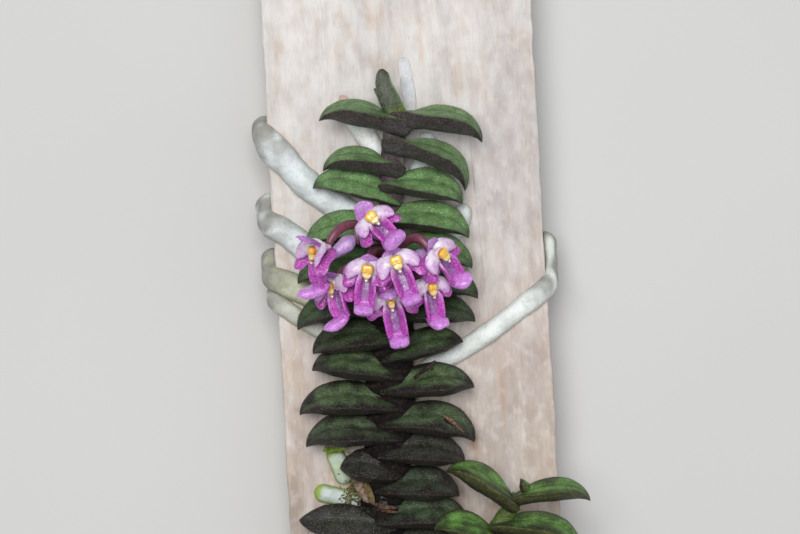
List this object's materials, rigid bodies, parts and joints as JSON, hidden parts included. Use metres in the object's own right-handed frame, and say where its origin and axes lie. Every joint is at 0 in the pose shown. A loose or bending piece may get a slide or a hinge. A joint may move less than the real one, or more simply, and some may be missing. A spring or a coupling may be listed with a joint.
{
  "type": "mounted miniature orchid",
  "caption": "Miniature epiphytic orchid in bloom: braided ranks of fleshy leaves, a cluster of lilac flowers and pale roots gripping a flat wooden slat.",
  "frame": {"origin": "centre of the slat's back face", "axes": "+Z from the slat's back towards the plant's flowers, +Y along the slat towards the shoot's growing tip, +X to the viewer's right"},
  "size_m": [0.0344, 0.084, 0.0232],
  "materials": {
    "slat_wood": "weathered bare wood with open grain",
    "leaf": "fleshy green leaf, finely grained, purple-brown beneath and with age",
    "young_leaf": "brighter green fleshy leaf",
    "root": "chalky white velamen with a grey-green cast",
    "flower_stalk": "smooth maroon stalk",
    "dry_stalk": "dry brown stalk",
    "petal": "translucent petal, whitish at the petals, magenta on the lip and lilac at its end lobe",
    "anther": "waxy golden yellow"
  },
  "bodies": {
    "root": {"wood_slat": "slat_wood", "main_shoot": "leaf", "side_shoot": "young_leaf", "root_left_1": "root", "root_left_2": "root", "root_left_3": "root", "root_left_4": "root", "root_right_1": "root", "root_upper_left": "root", "root_upper_right": "root", "root_right_2": "root", "root_tip_trace": "root", "root_low_left_1": "root", "root_low_left_2": "root", "root_base_left": "root", "root_base_right": "root", "flower_stalk": "flower_stalk", "old_stalk": "dry_stalk", "bloom_1": "petal", "anther_cap_1": "anther", "bloom_2": "petal", "anther_cap_2": "anther", "bloom_3": "petal", "anther_cap_3": "anther", "bloom_4": "petal", "anther_cap_4": "anther", "bloom_5": "petal", "anther_cap_5": "anther", "bloom_6": "petal", "anther_cap_6": "anther", "bloom_7": "petal", "anther_cap_7": "anther", "bloom_8": "petal", "anther_cap_8": "anther"}
  },
  "joints": []
}
